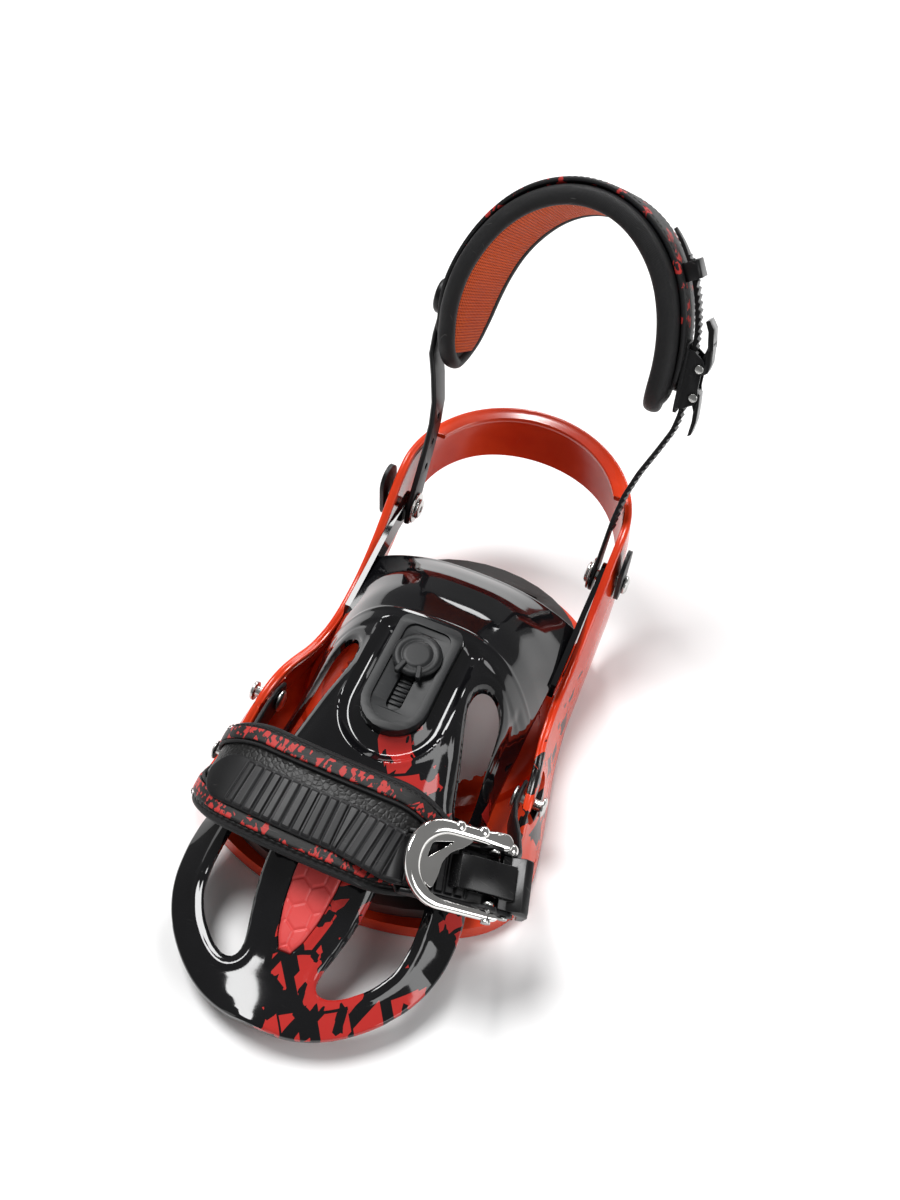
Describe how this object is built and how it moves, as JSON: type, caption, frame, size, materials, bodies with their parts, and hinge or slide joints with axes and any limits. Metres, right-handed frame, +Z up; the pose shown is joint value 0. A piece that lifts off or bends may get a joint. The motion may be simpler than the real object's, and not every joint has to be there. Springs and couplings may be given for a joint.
{
  "type": "snowboard strap binding",
  "caption": "Snowboard strap binding with its highback folded forward under the buckled toe strap and its ankle strap standing closed over the heel hoop.",
  "frame": {"origin": "centre of the whole object's box seen from above, on the underside of the base", "axes": "+Y towards the heel hoop, -Y towards the toe, +X the outer side that carries both buckles, +Z up off the board"},
  "size_m": [0.1719, 0.3772, 0.2301],
  "materials": {
    "nylon_red": "glossy moulded nylon",
    "shell_black": "glossy moulded shell with red fragments",
    "buckle_black": "satin black nylon",
    "plastic_charcoal": "matte moulded",
    "strap_plastic": "flexible strap plastic",
    "strap_fabric": "padded coated textile",
    "rubber_dark": "matte",
    "rubber_red": "matte moulded with hexagon grooves",
    "steel": "plated",
    "chrome": "polished"
  },
  "bodies": {
    "base": {"base_tray": "nylon_red", "toe_ramp": "rubber_dark", "heel_pad": "rubber_dark", "hardware_cover_left": "strap_plastic", "hardware_cover_right": "strap_plastic", "ankle_bolt_left": "steel", "ankle_bolt_right": "steel", "ankle_washer_left": "steel", "ankle_washer_right": "steel", "toe_bolt_left": "steel", "toe_bolt_right": "steel"},
    "highback": {"highback_shell": "shell_black", "hex_insert": "rubber_red", "lean_plate": "plastic_charcoal", "lean_rack": "plastic_charcoal"},
    "lean_slider": {"lean_slider": "plastic_charcoal"},
    "lean_knob": {"lean_knob": "plastic_charcoal"},
    "ankle_strap": {"ankle_pad": "strap_fabric", "ankle_cover": "strap_plastic", "ankle_connector": "strap_plastic", "ankle_knob": "strap_plastic", "ankle_keeper": "strap_plastic", "ankle_buckle_base": "strap_plastic", "ankle_lever_pin": "steel", "ankle_pawl_pin": "steel", "ankle_rivet_upper": "steel", "ankle_rivet_lower": "steel"},
    "ankle_ladder": {"ankle_ladder": "strap_plastic"},
    "ankle_lever": {"ankle_lever": "buckle_black"},
    "ankle_pawl": {"ankle_pawl": "buckle_black"},
    "toe_strap": {"toe_pad": "strap_fabric", "toe_ladder": "strap_plastic", "toe_connector_left": "strap_plastic", "toe_rivet_left": "steel"},
    "toe_buckle": {"toe_buckle_base": "strap_plastic", "toe_connector_right": "strap_plastic", "toe_rivet_right": "steel", "toe_lever_pin_front": "steel", "toe_lever_pin_rear": "steel", "toe_tab_pin": "steel"},
    "toe_lever": {"toe_lever": "chrome"},
    "toe_tab": {"toe_tab": "buckle_black"}
  },
  "joints": [
    {"name": "highback_fold", "type": "hinge", "parent": "base", "child": "highback", "pos_m": [-0.003, 0.0909, 0.054], "axis": [-1, 0, 0], "range_deg": [0, 100], "deforming": ["toe_pad", "toe_ladder", "toe_connector_left", "toe_rivet_left", "toe_buckle_base", "toe_connector_right", "toe_rivet_right", "toe_lever_pin_front", "toe_lever_pin_rear", "toe_tab_pin", "toe_lever", "toe_tab"]},
    {"name": "lean_slide", "type": "slide", "parent": "highback", "child": "lean_slider", "axis": [0, -0.9816, -0.1908], "range_m": [0, 0.013]},
    {"name": "lean_knob_turn", "type": "hinge", "parent": "lean_slider", "child": "lean_knob", "pos_m": [-0.003, -0.03114, 0.08331], "axis": [0, -0.1908, 0.9816], "range_deg": [0, 90]},
    {"name": "ankle_strap_swing", "type": "hinge", "parent": "base", "child": "ankle_strap", "pos_m": [-0.003, 0.0909, 0.054], "axis": [1, 0, 0], "range_deg": [0, 85]},
    {"name": "ankle_ladder_swing", "type": "hinge", "parent": "base", "child": "ankle_ladder", "pos_m": [-0.003, 0.0909, 0.054], "axis": [1, 0, 0], "range_deg": [0, 85]},
    {"name": "ankle_lever_open", "type": "hinge", "parent": "ankle_strap", "child": "ankle_lever", "pos_m": [0.06593, 0.14117, 0.1618], "axis": [0, 0.9063, -0.4226], "range_deg": [0, 75]},
    {"name": "ankle_pawl_press", "type": "hinge", "parent": "ankle_strap", "child": "ankle_pawl", "pos_m": [0.06759, 0.13529, 0.1492], "axis": [0, 0.9063, -0.4226], "range_deg": [0, 9], "stiffness_Nm_per_rad": 0.02, "springref_deg": -17.19},
    {"name": "toe_strap_swing", "type": "hinge", "parent": "base", "child": "toe_strap", "pos_m": [-0.003, -0.0441, 0.031], "axis": [-1, 0, 0], "range_deg": [0, 14]},
    {"name": "toe_buckle_swing", "type": "hinge", "parent": "base", "child": "toe_buckle", "pos_m": [-0.003, -0.0441, 0.031], "axis": [-1, 0, 0], "range_deg": [0, 14]},
    {"name": "toe_lever_open", "type": "hinge", "parent": "toe_buckle", "child": "toe_lever", "pos_m": [0.06688, -0.111, 0.06453], "axis": [-0.2519, 0.9098, 0.3299], "range_deg": [0, 80]},
    {"name": "toe_tab_press", "type": "hinge", "parent": "toe_buckle", "child": "toe_tab", "pos_m": [0.07311, -0.10636, 0.05649], "axis": [-0.2519, 0.9098, 0.3299], "range_deg": [0, 12], "stiffness_Nm_per_rad": 0.03, "springref_deg": -17.19}
  ],
  "couplings": [
    {"joint": "ankle_ladder_swing", "follows": "ankle_strap_swing", "ratio": 1},
    {"joint": "toe_buckle_swing", "follows": "toe_strap_swing", "ratio": 1}
  ]
}
